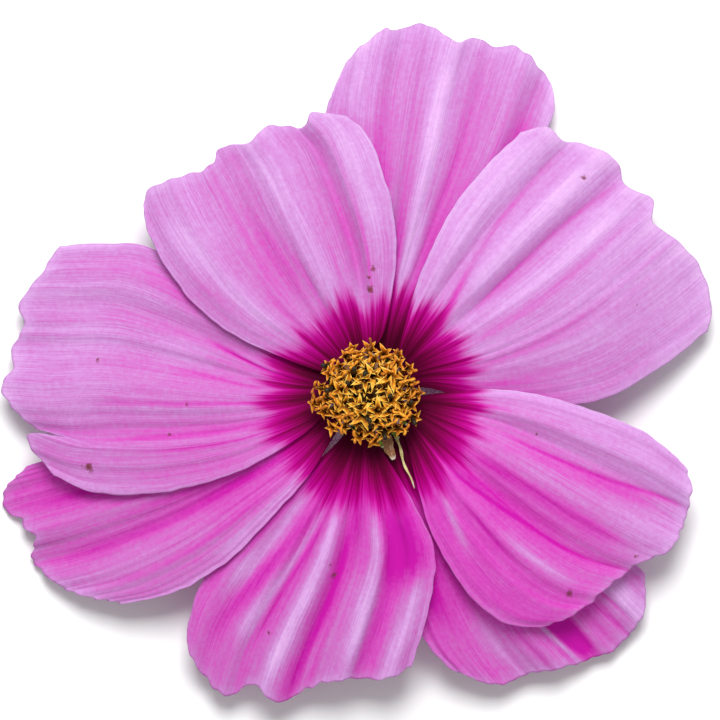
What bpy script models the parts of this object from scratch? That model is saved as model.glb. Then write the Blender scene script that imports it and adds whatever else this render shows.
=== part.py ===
# Cosmos flower head, lying face up on its petal tips and its cut stalk.
# Lengths below are in millimetres and angles in degrees; MM turns them into metres.
# Petals, bracts and florets are laid out round the head's axis, which is vertical.

import math

import bmesh
import bpy
from mathutils import Vector

MM = 0.001

# Driving dimensions of the head
SHEET = 0.4              # thickness of a petal or bract
ATTACH_HEIGHT = 8.4      # height at which the petals leave the receptacle
ATTACH_RADIUS = 4.3      # radius at which the petals start
RISE = 0.9               # how far a petal climbs before it droops
RISE_LENGTH = 4.0        # over what distance it climbs
DROOP_POWER = 1.8        # how late along its length a petal bends down
PETAL_REACH = 38.0       # nominal length of a petal from the head's axis
LAYER_ROOT = 0.5         # half the step between overlapping petals, at their base
LAYER_STEP = 0.95        # the same step further out
LAYER_START = 4.0        # radius where the step begins to grow
LAYER_END = 15.0         # radius where it is at its full size
PETAL_ROWS = 10
PETAL_COLUMNS = 20

# One entry for each petal, in the order they stand round the head, anticlockwise.
# heading: direction of its middle. root: direction of its base, and its half width there.
# left, right: its margins as (along, across) points from the base to the corners of the tip.
# tip: the toothed edge from the left corner to the right one.
# over: +1 where a margin lies over its neighbour and -1 where it lies under, left then right.
# pleats: (place across, half width, height) of the long folds, place 0 left to 1 right.
PETALS = {
    "petal_upper_right": dict(
        heading=29, root=(28, 1.7), droop=7.0, over=(1, -1),
        left=[(6.7, 4.2), (11.2, 8.5), (17.7, 13.1), (23.8, 15.6)],
        right=[(6.3, -2.9), (12.5, -8.6), (21.6, -12.9), (29.9, -13.1)],
        tip=[(28.6, 16.9), (31.5, 16.0), (32.2, 13.9), (34.4, 12.2), (36.4, 9.2), (35.9, 6.6),
             (37.6, 3.8), (36.8, 1.0), (38.3, -2.7), (38.9, -6.5), (37.6, -10.5), (36.2, -12.2)],
        pleats=[(0.10, 0.06, 0.4), (0.19, 0.05, -0.6), (0.29, 0.05, 0.5), (0.39, 0.05, -0.6),
                (0.55, 0.09, 0.3), (0.72, 0.12, 0.4)],
    ),
    "petal_top": dict(
        heading=77, root=(66, 1.3), droop=7.9, over=(-1, -1),
        left=[(6.5, 1.6), (11.0, 4.6), (17.0, 8.4), (24.0, 11.2)],
        right=[(6.5, -2.6), (11.0, -4.4), (17.0, -7.6), (25.5, -11.3)],
        tip=[(30.5, 11.4), (35.4, 10.4), (39.6, 7.5), (39.8, 6.4), (41.4, 3.2), (40.2, -0.5),
             (41.2, -3.0), (40.6, -5.0), (41.2, -7.6), (38.7, -11.5), (37.1, -12.6), (35.1, -13.1)],
        pleats=[(0.25, 0.08, 0.5), (0.38, 0.07, -0.6), (0.53, 0.07, 0.8), (0.68, 0.07, -0.6),
                (0.78, 0.05, 0.4), (0.87, 0.04, -0.7)],
    ),
    "petal_upper_left": dict(
        heading=124, root=(116, 2.4), droop=6.2, over=(1, 1),
        left=[(5.2, 3.2), (12.0, 7.8), (17.1, 9.9), (22.4, 10.6), (27.5, 10.2)],
        right=[(4.3, -4.8), (7.2, -7.9), (11.4, -11.4), (16.3, -13.9), (23.0, -15.7)],
        tip=[(30.0, 9.4), (31.9, 7.6), (31.3, 4.2), (30.3, 0.7), (31.3, -1.8), (30.0, -4.6),
             (30.4, -7.2), (28.1, -10.5), (28.9, -12.0), (26.5, -15.0)],
        pleats=[(0.16, 0.09, 0.5), (0.40, 0.10, -0.7), (0.57, 0.08, 0.7), (0.77, 0.04, -0.9),
                (0.90, 0.07, 0.5)],
    ),
    "petal_left": dict(
        heading=176, root=(178, 1.9), droop=6.8, over=(1, -1),
        left=[(6.1, 4.4), (10.2, 7.5), (14.8, 10.1), (21.8, 12.4), (28.9, 13.0)],
        right=[(6.0, -2.4), (11.0, -5.4), (17.0, -10.0), (24.8, -14.2), (31.0, -14.3)],
        tip=[(33.8, 11.5), (36.9, 8.2), (36.7, 7.0), (32.9, 7.2), (36.7, 6.2), (40.3, 2.8),
             (39.4, -0.2), (39.7, -2.0), (38.5, -4.7), (39.2, -7.0), (37.4, -10.0), (35.1, -13.8)],
        pleats=[(0.18, 0.10, 0.4), (0.36, 0.07, -0.5), (0.50, 0.08, 0.5), (0.64, 0.06, -0.5),
                (0.77, 0.05, -0.6), (0.87, 0.06, 0.3)],
    ),
    "petal_lower_left": dict(
        heading=210, root=(212, 1.3), droop=7.9, over=(1, -1),
        left=[(7.1, 3.0), (10.0, 4.5), (14.5, 6.0), (22.3, 8.2), (29.5, 8.3)],
        right=[(7.0, -1.4), (15.0, -4.2), (22.0, -7.0), (29.0, -10.0)],
        tip=[(34.9, 6.6), (39.5, 2.6), (41.6, -2.3), (39.9, -4.6), (40.7, -6.3), (40.1, -7.0),
             (41.4, -8.4), (40.5, -10.8), (36.8, -11.8)],
        pleats=[(0.22, 0.10, 0.4), (0.42, 0.07, -0.6), (0.60, 0.08, 0.5), (0.78, 0.06, -0.4)],
    ),
    "petal_bottom": dict(
        heading=260, root=(259, 1.3), droop=7.0, over=(1, -1),
        left=[(7.2, 3.8), (11.2, 7.2), (15.9, 10.2), (22.4, 10.6)],
        right=[(7.0, -3.2), (13.0, -8.0), (18.0, -11.6), (24.1, -14.5)],
        tip=[(28.7, 9.9), (30.6, 7.2), (31.2, 3.6), (32.6, 0.0), (35.3, -3.9), (33.8, -6.9),
             (35.7, -9.6), (33.5, -12.9), (31.4, -14.5), (29.2, -15.1)],
        pleats=[(0.08, 0.05, 0.4), (0.18, 0.05, -0.6), (0.27, 0.06, 0.8), (0.43, 0.06, -0.9),
                (0.54, 0.06, 0.9), (0.66, 0.05, -0.7), (0.74, 0.04, 0.3), (0.81, 0.05, -0.5), (0.91, 0.05, 0.3)],
    ),
    "petal_lower_right": dict(
        heading=303, root=(297, 1.2), droop=7.4, over=(-1, -1),
        left=[(6.5, 1.8), (14.0, 6.5), (22.0, 10.6), (28.0, 13.5)],
        right=[(6.5, -2.0), (12.0, -4.6), (18.0, -7.4), (25.6, -9.5)],
        tip=[(33.5, 14.8), (37.1, 12.3), (38.9, 7.6), (38.6, 6.8), (37.9, 3.4), (35.9, -1.7),
             (34.6, -5.9), (30.3, -9.0)],
        pleats=[(0.20, 0.07, 0.4), (0.40, 0.07, -0.6), (0.56, 0.06, 0.7), (0.72, 0.07, -0.4)],
    ),
    "petal_right": dict(
        heading=333, root=(337, 1.4), droop=5.9, over=(1, 1),
        left=[(7.9, 4.2), (12.4, 6.8), (17.4, 8.5), (23.7, 9.6), (29.2, 9.9)],
        right=[(6.3, -3.0), (9.5, -6.7), (13.3, -10.6), (19.6, -14.5), (24.8, -15.6)],
        tip=[(33.7, 9.0), (35.8, 7.7), (36.8, 5.8), (37.6, 2.8), (37.4, 1.8), (37.5, -0.2),
             (35.0, -3.2), (32.9, -7.5), (31.3, -11.1), (28.6, -14.2)],
        pleats=[(0.12, 0.07, 0.4), (0.26, 0.06, -0.6), (0.40, 0.08, 0.6), (0.60, 0.05, -0.6),
                (0.72, 0.06, 0.5), (0.85, 0.06, 0.3)],
    ),
}

# Receptacle and stalk, which grew as one: (height from the petal level, radius)
STALK_RADIUS = 1.2
RECEPTACLE_PROFILE = [(-4.6, 1.25), (-3.6, 1.7), (-2.8, 2.5), (-1.9, 3.2), (-0.9, 3.75),
                      (0.0, 3.9), (0.35, 3.7), (0.65, 2.6), (0.85, 1.3)]
STALK_SIDES = 24
NECK_RISE = 2.0          # the stalk stays straight to this far above half its height

# Bracts: where they start, how long and wide they are, and their rise and fall
INNER_BRACT = dict(start=4.1, level=-2.0, length=8.5, width=3.8, climb=0.75, climb_length=2.2, fall=0.5)
OUTER_BRACT = dict(start=3.7, level=-2.95, length=8.0, width=1.9, climb=0.1, climb_length=2.0, fall=1.9)
OUTER_TURN = 13.0        # how far an outer bract stands past the middle of the space between two petals
BRACT_ROWS = 8
BRACT_COLUMNS = 4
BRACT_BASE = 0.12        # width of a bract at its base, as a share of its full width
BRACT_CHANNEL = 0.1      # how far its margins turn up, as a share of its half width

# Disc: a sunflower spiral of florets, the outer ones open and separate
GOLDEN_ANGLE = math.degrees(math.pi * (3.0 - math.sqrt(5.0)))
FLORET_COUNT = 61
YOUNG_COUNT = 28         # the inner ones, still packed together in one cluster
DISC_RADIUS = 5.6        # radius of the ring where the outermost florets open
BASE_SHRINK = 0.62       # how much closer together the florets stand at their bases
BASE_LEVEL = 0.95        # height of the florets' bases over the petal level
FLORET_TOP = 5.3         # height of the innermost open florets' mouths
DOME_DROP = 1.3          # how much lower the outermost ones are
FLORET_PROFILE = [(0.0, 0.10), (0.04, 0.20), (0.45, 0.27), (0.75, 0.33), (1.0, 0.42), (0.96, 0.16)]
FLORET_SIDES = 8
YOUNG_RADIUS = 3.05
YOUNG_RISE = 0.5         # height of the cluster's dome over its shoulder
YOUNG_SHOULDER = 0.6     # how far the shoulder stands below the open florets' mouths
YOUNG_LIFT = 0.2         # how far its foot stands above the open florets' bases
YOUNG_FOOT = 1.7
YOUNG_WAIST = 2.32
YOUNG_RINGS = 5

# The withered palea lies in the open wedge between two petals
PALEA = dict(start=(5.3, 303), end=(11.5, 296), width=0.7, level=0.55, sheet=0.3)
PALEA_STEPS = 8
PALEA_TAPER = 0.75       # how much narrower it is at its tip


def smoothstep(low, high, value):
    t = min(max((value - low) / (high - low), 0.0), 1.0)
    return t * t * (3.0 - 2.0 * t)


def polar(radius, degrees):
    angle = math.radians(degrees)
    return Vector((radius * math.cos(angle), radius * math.sin(angle)))


def through(points, count):
    # Catmull-Rom curve through the points, read at count + 1 places evenly along its length
    pts = [Vector(p) for p in points]
    pts = [2 * pts[0] - pts[1]] + pts + [2 * pts[-1] - pts[-2]]
    fine = []
    steps = 12
    for a, b, c, d in zip(pts, pts[1:], pts[2:], pts[3:]):
        for i in range(steps):
            t = i / steps
            fine.append(0.5 * (2 * b + (c - a) * t + (2 * a - 5 * b + 4 * c - d) * t * t
                               + (3 * b - a - 3 * c + d) * t ** 3))
    fine.append(pts[-2])
    reach = [0.0]
    for p, q in zip(fine, fine[1:]):
        reach.append(reach[-1] + (q - p).length)
    curve = []
    k = 0
    for i in range(count + 1):
        target = reach[-1] * i / count
        while k < len(fine) - 2 and reach[k + 1] < target:
            k += 1
        t = (target - reach[k]) / (reach[k + 1] - reach[k])
        curve.append(fine[k].lerp(fine[k + 1], min(max(t, 0.0), 1.0)))
    return curve


def petal_plan(petal, rows, columns):
    # The petal seen from above: a grid stretched between its base, its margins and its tip
    turn = petal["root"][0] - petal["heading"]
    middle = polar(ATTACH_RADIUS, turn)
    side = polar(petal["root"][1], turn + 90)
    base = through([middle + side, middle - side], columns)
    tip = through(petal["tip"], columns)
    left = through([base[0]] + petal["left"] + [tip[0]], rows)
    right = through([base[-1]] + petal["right"] + [tip[-1]], rows)
    grid = []
    for i in range(rows + 1):
        u = i / rows
        line = []
        for j in range(columns + 1):
            v = j / columns
            corners = (1 - u) * ((1 - v) * base[0] + v * base[-1]) + u * ((1 - v) * tip[0] + v * tip[-1])
            line.append((1 - v) * left[i] + v * right[i] + (1 - u) * base[j] + u * tip[j] - corners)
        grid.append(line)
    return grid


def petal_height(petal, place, u, v):
    # Height of a petal's middle surface: climb, droop, layering and pleats
    radius = place.length
    out = max(radius - ATTACH_RADIUS, 0.0)
    climb = RISE * (1.0 - math.exp(-out / RISE_LENGTH))
    fall = petal["droop"] * (out / (PETAL_REACH - ATTACH_RADIUS)) ** DROOP_POWER
    step = LAYER_ROOT + (LAYER_STEP - LAYER_ROOT) * smoothstep(LAYER_START, LAYER_END, radius)
    left_level, right_level = petal["over"]
    layer = step * ((1 - v) * left_level + v * right_level)
    fold = sum(high * math.exp(-((v - middle) / wide) ** 2) for middle, wide, high in petal["pleats"])
    fold *= smoothstep(0.12, 0.5, u)
    return ATTACH_HEIGHT + climb - fall + layer + fold


def sheet_object(name, grid, thickness, material, parent, heading=0.0):
    # A closed sheet of even thickness round a grid of middle points
    mesh = bpy.data.meshes.new(name)
    bm = bmesh.new()
    verts = [[bm.verts.new(p * MM) for p in line] for line in grid]
    for upper, lower in zip(verts, verts[1:]):
        for a, b, c, d in zip(upper, upper[1:], lower[1:], lower):
            bm.faces.new((a, d, c, b))
    bmesh.ops.recalc_face_normals(bm, faces=bm.faces)
    bm.normal_update()
    if sum(face.normal.z for face in bm.faces) < 0:
        bmesh.ops.reverse_faces(bm, faces=bm.faces)
    offset = thickness * MM
    bmesh.ops.solidify(bm, geom=bm.faces[:], thickness=-offset)
    bmesh.ops.translate(bm, verts=bm.verts[:], vec=(0, 0, -offset / 2))
    bmesh.ops.triangulate(bm, faces=bm.faces[:])
    bmesh.ops.recalc_face_normals(bm, faces=bm.faces[:])
    bm.to_mesh(mesh)
    bm.free()
    mesh.shade_smooth()
    mesh.set_sharp_from_angle(angle=math.radians(40))
    return add_object(name, mesh, material, parent, heading)


def add_object(name, mesh, material, parent, heading=0.0):
    if not mesh.materials:
        mesh.materials.append(material)
    item = bpy.data.objects.new(name, mesh)
    bpy.context.scene.collection.objects.link(item)
    item.parent = parent
    item.rotation_euler = (0, 0, math.radians(heading))
    return item


def make_material(name, colour, roughness):
    material = bpy.data.materials.new(name)
    material.use_nodes = True
    shader = material.node_tree.nodes["Principled BSDF"]
    shader.inputs["Base Color"].default_value = (*colour, 1.0)
    shader.inputs["Roughness"].default_value = roughness
    shader.inputs["Metallic"].default_value = 0.0
    return material


def make_petal(name, petal, material, parent):
    plan = petal_plan(petal, PETAL_ROWS, PETAL_COLUMNS)
    grid = []
    for i, line in enumerate(plan):
        u = i / PETAL_ROWS
        row = []
        for j, place in enumerate(line):
            height = petal_height(petal, place, u, j / PETAL_COLUMNS)
            row.append(Vector((place.x, place.y, height)))
        grid.append(row)
    return sheet_object(name, grid, SHEET, material, parent, petal["heading"])


def turned_mesh(name, profile, sides):
    # A solid of revolution about Z; profile is (height, radius) from the bottom up
    mesh = bpy.data.meshes.new(name)
    bm = bmesh.new()
    line = [bm.verts.new((radius * MM, 0, height * MM)) for height, radius in profile]
    edges = [bm.edges.new(pair) for pair in zip(line, line[1:])]
    bmesh.ops.spin(bm, geom=line + edges, cent=(0, 0, 0), axis=(0, 0, 1),
                   angle=math.tau, steps=sides, use_merge=True)
    bmesh.ops.remove_doubles(bm, verts=bm.verts[:], dist=0.001 * MM)
    rims = [edge for edge in bm.edges if edge.is_boundary]
    bmesh.ops.holes_fill(bm, edges=rims, sides=0)
    bmesh.ops.recalc_face_normals(bm, faces=bm.faces[:])
    bmesh.ops.triangulate(bm, faces=bm.faces[:])
    bm.to_mesh(mesh)
    bm.free()
    mesh.shade_smooth()
    mesh.set_sharp_from_angle(angle=math.radians(40))
    return mesh


def make_receptacle(stalk_end, material, parent):
    profile = [(stalk_end, STALK_RADIUS), (stalk_end / 2 + NECK_RISE, STALK_RADIUS)]
    profile += [(ATTACH_HEIGHT + level, radius) for level, radius in RECEPTACLE_PROFILE]
    mesh = turned_mesh("receptacle_and_stalk", profile, STALK_SIDES)
    return add_object("receptacle_and_stalk", mesh, material, parent)


def bract_grid(bract):
    # A lance-shaped scale, slightly channelled, that points along +X
    grid = []
    for i in range(BRACT_ROWS + 1):
        u = i / BRACT_ROWS
        out = bract["length"] * u
        lance = math.sin(math.pi * u ** 0.8) ** 0.7
        half = bract["width"] / 2 * (BRACT_BASE + (1 - BRACT_BASE) * lance)
        climb = bract["climb"] * (1 - math.exp(-out / bract["climb_length"]))
        level = ATTACH_HEIGHT + bract["level"] + climb - bract["fall"] * u ** 2
        row = []
        for j in range(BRACT_COLUMNS + 1):
            across = 1 - 2 * j / BRACT_COLUMNS
            channel = BRACT_CHANNEL * half * across ** 2
            row.append(Vector((bract["start"] + out, half * across, level + channel)))
        grid.append(row)
    return grid


def make_bracts(roots, inner_material, outer_material, parent):
    # An inner bract stands behind each petal's base, and an outer one between each two
    ring = roots + [roots[0] + 360]
    for k, root in enumerate(roots):
        name = f"inner_bract_{k + 1}"
        sheet_object(name, bract_grid(INNER_BRACT), SHEET, inner_material, parent, root)
        between = (ring[k] + ring[k + 1]) / 2 + OUTER_TURN
        name = f"outer_bract_{k + 1}"
        sheet_object(name, bract_grid(OUTER_BRACT), SHEET, outer_material, parent, between)


def floret_places():
    # (radius at the mouth, direction) of every floret in the spiral, from the middle out
    for n in range(1, FLORET_COUNT + 1):
        yield DISC_RADIUS * math.sqrt((n - 0.5) / FLORET_COUNT), (n * GOLDEN_ANGLE) % 360.0


def make_disc(open_material, young_material, parent):
    # Each open floret is the same turned tube, set on its own base and leaning outwards
    length = FLORET_TOP - BASE_LEVEL
    tube = turned_mesh("disc_floret", [(length * t, radius) for t, radius in FLORET_PROFILE], FLORET_SIDES)
    outer = list(floret_places())[YOUNG_COUNT:]
    for k, (radius, direction) in enumerate(outer):
        drop = DOME_DROP * ((radius - YOUNG_RADIUS) / (DISC_RADIUS - YOUNG_RADIUS)) ** 2
        foot = polar(radius * BASE_SHRINK, direction).to_3d()
        foot.z = ATTACH_HEIGHT + BASE_LEVEL
        mouth = polar(radius, direction).to_3d()
        mouth.z = ATTACH_HEIGHT + FLORET_TOP - drop
        item = add_object(f"disc_floret_{k + 1:02d}", tube, open_material, parent)
        item.location = foot * MM
        item.rotation_euler = (mouth - foot).to_track_quat("Z", "Y").to_euler()
    low = ATTACH_HEIGHT + BASE_LEVEL
    high = ATTACH_HEIGHT + FLORET_TOP - YOUNG_SHOULDER
    profile = [(low + YOUNG_LIFT, YOUNG_FOOT), ((low + high) / 2, YOUNG_WAIST)]
    for k in range(YOUNG_RINGS + 1):
        angle = k / (YOUNG_RINGS + 1) * math.pi / 2
        profile.append((high + YOUNG_RISE * math.sin(angle), YOUNG_RADIUS * math.cos(angle)))
    mesh = turned_mesh("young_floret_cluster", profile, STALK_SIDES)
    add_object("young_floret_cluster", mesh, young_material, parent)


def make_palea(material, parent):
    start = polar(*PALEA["start"])
    end = polar(*PALEA["end"])
    side = (end - start).orthogonal().normalized()
    grid = []
    for i in range(PALEA_STEPS + 1):
        u = i / PALEA_STEPS
        place = start.lerp(end, u)
        half = PALEA["width"] / 2 * (1.0 - PALEA_TAPER * u ** 3)
        out = place.length - ATTACH_RADIUS
        level = ATTACH_HEIGHT + RISE * (1 - math.exp(-out / RISE_LENGTH)) + PALEA["level"] * (1 - u)
        row = [Vector((*(place + side * half * s), level)) for s in (1, 0, -1)]
        grid.append(row)
    return sheet_object("withered_palea", grid, PALEA["sheet"], material, parent)


def centre_on_origin(axis, items):
    # Move the head so that its box stands centred on the origin, with its lowest point at 0
    bpy.context.view_layer.update()
    corners = [item.matrix_world @ vertex.co for item in items for vertex in item.data.vertices]
    low = Vector([min(corner[k] for corner in corners) for k in range(3)])
    high = Vector([max(corner[k] for corner in corners) for k in range(3)])
    axis.location = (-(low.x + high.x) / 2, -(low.y + high.y) / 2, -low.z)


def main():
    for item in list(bpy.data.objects):
        bpy.data.objects.remove(item)
    axis = bpy.data.objects.new("flower_axis", None)
    bpy.context.scene.collection.objects.link(axis)
    lavender = make_material("petal_lavender", (0.71, 0.26, 0.66), 0.55)
    green = make_material("stalk_green", (0.20, 0.38, 0.07), 0.6)
    inner_green = make_material("inner_bract_green", (0.42, 0.48, 0.16), 0.6)
    outer_green = make_material("outer_bract_green", (0.12, 0.28, 0.05), 0.6)
    yellow = make_material("floret_yellow", (0.75, 0.42, 0.03), 0.55)
    ochre = make_material("young_floret_ochre", (0.55, 0.32, 0.04), 0.6)
    tan = make_material("palea_tan", (0.62, 0.50, 0.24), 0.65)
    petals = [make_petal(name, petal, lavender, axis) for name, petal in PETALS.items()]
    make_bracts([petal["root"][0] for petal in PETALS.values()], inner_green, outer_green, axis)
    make_disc(yellow, ochre, axis)
    make_palea(tan, axis)
    lowest = min(vertex.co.z for petal in petals for vertex in petal.data.vertices)
    make_receptacle(lowest / MM, green, axis)
    centre_on_origin(axis, [item for item in bpy.data.objects if item.type == "MESH"])


main()
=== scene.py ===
import math
import random

import bmesh
import bpy
import numpy as np
from mathutils import Matrix, Vector


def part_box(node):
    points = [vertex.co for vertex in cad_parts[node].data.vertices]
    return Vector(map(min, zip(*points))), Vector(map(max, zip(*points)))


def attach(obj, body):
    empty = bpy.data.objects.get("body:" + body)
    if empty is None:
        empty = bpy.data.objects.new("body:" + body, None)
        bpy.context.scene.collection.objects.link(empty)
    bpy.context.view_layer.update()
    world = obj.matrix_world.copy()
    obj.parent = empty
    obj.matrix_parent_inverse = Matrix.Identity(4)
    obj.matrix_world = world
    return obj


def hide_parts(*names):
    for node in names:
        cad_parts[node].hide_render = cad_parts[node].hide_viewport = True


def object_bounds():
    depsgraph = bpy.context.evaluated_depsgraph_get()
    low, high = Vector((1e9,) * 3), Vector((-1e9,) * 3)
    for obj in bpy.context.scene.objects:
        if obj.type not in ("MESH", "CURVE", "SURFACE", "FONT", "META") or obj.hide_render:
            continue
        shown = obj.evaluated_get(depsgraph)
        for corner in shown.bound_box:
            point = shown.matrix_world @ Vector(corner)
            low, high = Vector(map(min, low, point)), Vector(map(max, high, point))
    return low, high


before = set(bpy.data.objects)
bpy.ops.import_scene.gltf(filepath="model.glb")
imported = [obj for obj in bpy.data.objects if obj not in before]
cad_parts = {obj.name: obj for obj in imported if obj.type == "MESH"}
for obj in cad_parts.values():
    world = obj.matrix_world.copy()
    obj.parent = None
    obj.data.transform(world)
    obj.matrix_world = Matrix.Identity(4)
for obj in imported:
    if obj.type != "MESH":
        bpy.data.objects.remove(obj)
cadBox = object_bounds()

mm = 0.001

# The head's upright axis and the height where the petals leave it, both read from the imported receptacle
stalkLow, stalkHigh = (Vector(corner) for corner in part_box("receptacle_and_stalk"))
axisX = (stalkLow.x + stalkHigh.x) / 2
axisY = (stalkLow.y + stalkHigh.y) / 2
domeHeight = 0.85 * mm  # the receptacle's dome over the petal level
attachZ = stalkHigh.z - domeHeight
print("head axis at", round(axisX, 5), round(axisY, 5), "petals leave at", round(attachZ, 5))


# --- small maths ---

def smoothStep(low, high, value):
    t = np.clip((value - low) / (high - low), 0.0, 1.0)
    return t * t * (3.0 - 2.0 * t)


def polar(radius, degrees):
    angle = math.radians(degrees)
    return Vector((radius * math.cos(angle), radius * math.sin(angle)))


def curveThrough(points, count):
    # Catmull-Rom curve through the points, read at count + 1 places evenly along its length
    pts = np.array([tuple(p) for p in points], dtype=float)
    pts = np.vstack([2 * pts[0] - pts[1], pts, 2 * pts[-1] - pts[-2]])
    steps = np.linspace(0, 1, 24, endpoint=False)[:, None]
    fine = []
    for a, b, c, d in zip(pts, pts[1:], pts[2:], pts[3:]):
        fine.append(0.5 * (2 * b + (c - a) * steps + (2 * a - 5 * b + 4 * c - d) * steps ** 2
                           + (3 * b - a - 3 * c + d) * steps ** 3))
    fine = np.vstack(fine + [pts[-2][None, :]])
    reach = np.concatenate([[0.0], np.cumsum(np.linalg.norm(np.diff(fine, axis=0), axis=1))])
    wanted = np.linspace(0, reach[-1], count + 1)
    return np.stack([np.interp(wanted, reach, fine[:, k]) for k in range(fine.shape[1])], axis=1)


def bump1d(place, middle, width):
    return np.exp(-((place - middle) / width) ** 2)


# --- shader expressions ---

class Val:
    # a socket that can be used in ordinary arithmetic
    def __init__(self, sheet, socket):
        self.sheet = sheet
        self.socket = socket

    def op(self, kind, other):
        return self.sheet.node("ShaderNodeMath", {"operation": kind}, {0: self, 1: other})

    def __add__(self, other):
        return self.op("ADD", other)

    def __sub__(self, other):
        return self.op("SUBTRACT", other)

    def __mul__(self, other):
        return self.op("MULTIPLY", other)

    def __truediv__(self, other):
        return self.op("DIVIDE", other)

    def __rsub__(self, other):
        return self.sheet.node("ShaderNodeMath", {"operation": "SUBTRACT"}, {0: other, 1: self})

    def clamp(self):
        return self.sheet.node("ShaderNodeClamp", {}, {"Value": self})


class Sheet:
    # one material and the nodes in it
    def __init__(self, name, roughness, specular, sheen=0.0):
        self.material = bpy.data.materials.new(name)
        self.material.use_nodes = True
        self.tree = self.material.node_tree
        self.shader = self.tree.nodes["Principled BSDF"]
        self.shader.inputs["Roughness"].default_value = roughness
        self.shader.inputs["Specular IOR Level"].default_value = specular
        self.shader.inputs["Sheen Weight"].default_value = sheen

    def node(self, kind, settings, values, output=0):
        made = self.tree.nodes.new(kind)
        for key, value in settings.items():
            if key == "stops":
                ramp = made.color_ramp
                while len(ramp.elements) < len(value):
                    ramp.elements.new(0.5)
                for element, (place, colour) in zip(ramp.elements, value):
                    element.position = place
                    element.color = (*colour, 1.0)
            else:
                setattr(made, key, value)
        for key, value in values.items():
            if isinstance(value, Val):
                self.tree.links.new(value.socket, made.inputs[key])
            else:
                made.inputs[key].default_value = value
        return Val(self, made.outputs[output])

    def attribute(self, name):
        return self.node("ShaderNodeAttribute", {"attribute_name": name}, {}, "Fac")

    def uv(self, name):
        return self.node("ShaderNodeUVMap", {"uv_map": name}, {})

    def place(self):
        return self.node("ShaderNodeTexCoord", {}, {}, "Object")

    def scaled(self, vector, scale):
        return self.node("ShaderNodeVectorMath", {"operation": "MULTIPLY"}, {0: vector, 1: scale})

    def moved(self, vector, offset):
        return self.node("ShaderNodeVectorMath", {"operation": "ADD"}, {0: vector, 1: offset})

    def noise(self, vector, detail=2.0, roughness=0.5):
        values = {"Vector": vector, "Scale": 1.0, "Detail": detail, "Roughness": roughness}
        return self.node("ShaderNodeTexNoise", {}, values, "Fac")

    def ramp(self, value, stops, interpolation="LINEAR"):
        made = self.node("ShaderNodeValToRGB", {"stops": stops}, {"Fac": value}, "Color")
        made.socket.node.color_ramp.interpolation = interpolation
        return made

    def mix(self, factor, first, second, blend="MIX"):
        first = first if isinstance(first, Val) else (*first, 1.0)
        second = second if isinstance(second, Val) else (*second, 1.0)
        settings = {"data_type": "RGBA", "blend_type": blend, "clamp_factor": True}
        return self.node("ShaderNodeMix", settings, {0: factor, 6: first, 7: second}, 2)

    def finish(self, colour, bump, distance, strength):
        links = self.tree.links
        links.new(colour.socket, self.shader.inputs["Base Color"])
        values = {"Height": bump, "Distance": distance, "Strength": strength}
        links.new(self.node("ShaderNodeBump", {}, values).socket, self.shader.inputs["Normal"])
        return self.material


# --- meshes ---

def gridMesh(name, columns, rows, uvName):
    # a flat grid from bmesh, returned with each vertex's (across, along) place from 0 to 1
    bm = bmesh.new()
    bm.loops.layers.uv.new(uvName)
    bmesh.ops.create_grid(bm, x_segments=columns, y_segments=rows, size=1.0, calc_uvs=True)
    mesh = bpy.data.meshes.new(name)
    bm.to_mesh(mesh)
    bm.free()
    flat = np.zeros(len(mesh.vertices) * 3)
    mesh.vertices.foreach_get("co", flat)
    flat = flat.reshape(-1, 3)
    return mesh, (flat[:, 0] + 1) / 2, (flat[:, 1] + 1) / 2


def setShape(mesh, points):
    mesh.vertices.foreach_set("co", np.asarray(points, dtype=float).ravel())
    mesh.update()
    mesh.shade_smooth()


def setAttribute(mesh, name, values):
    layer = mesh.attributes.new(name, "FLOAT", "POINT")
    layer.data.foreach_set("value", np.asarray(values, dtype=float))


def addPiece(name, mesh, material, nodes=()):
    piece = bpy.data.objects.new(name, mesh)
    bpy.context.scene.collection.objects.link(piece)
    mesh.materials.append(material)
    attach(piece, "root")
    if nodes:
        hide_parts(*nodes)
    return piece


def thicken(piece, thickness):
    shell = piece.modifiers.new("thickness", "SOLIDIFY")
    shell.thickness = thickness
    shell.offset = 0.0
    shell.use_rim = True
    return shell


# --- petals ---

petalLook = {
    "columns": 150, "rows": 120, "thickness": 0.2 * mm,
    "attachRadius": 4.3, "rise": 0.9, "riseLength": 4.0, "droopPower": 1.8, "reach": 38.0,
    "layerRoot": 0.5, "layerStep": 0.75, "layerStart": 4.0, "layerEnd": 15.0,
    "foldShadeAndHighlight": 0.35, "shadeWidth": 1.6, "shadeDepth": 0.7, "paintedThroughGlow": 0.1, "crimp": 0.07,
    "baseRose": 0.25, "tipFade": 0.1, "creaseLimit": 0.022, "creaseDepth": 0.13,
    "creaseSpread": 1.2, "rimAcross": 0.9 / 30, "rimAlong": 1.2 / 40, "paintedRimHighlight": 0.5,
    "ribs": 0.55, "tipWave": 0.12,
}
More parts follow.
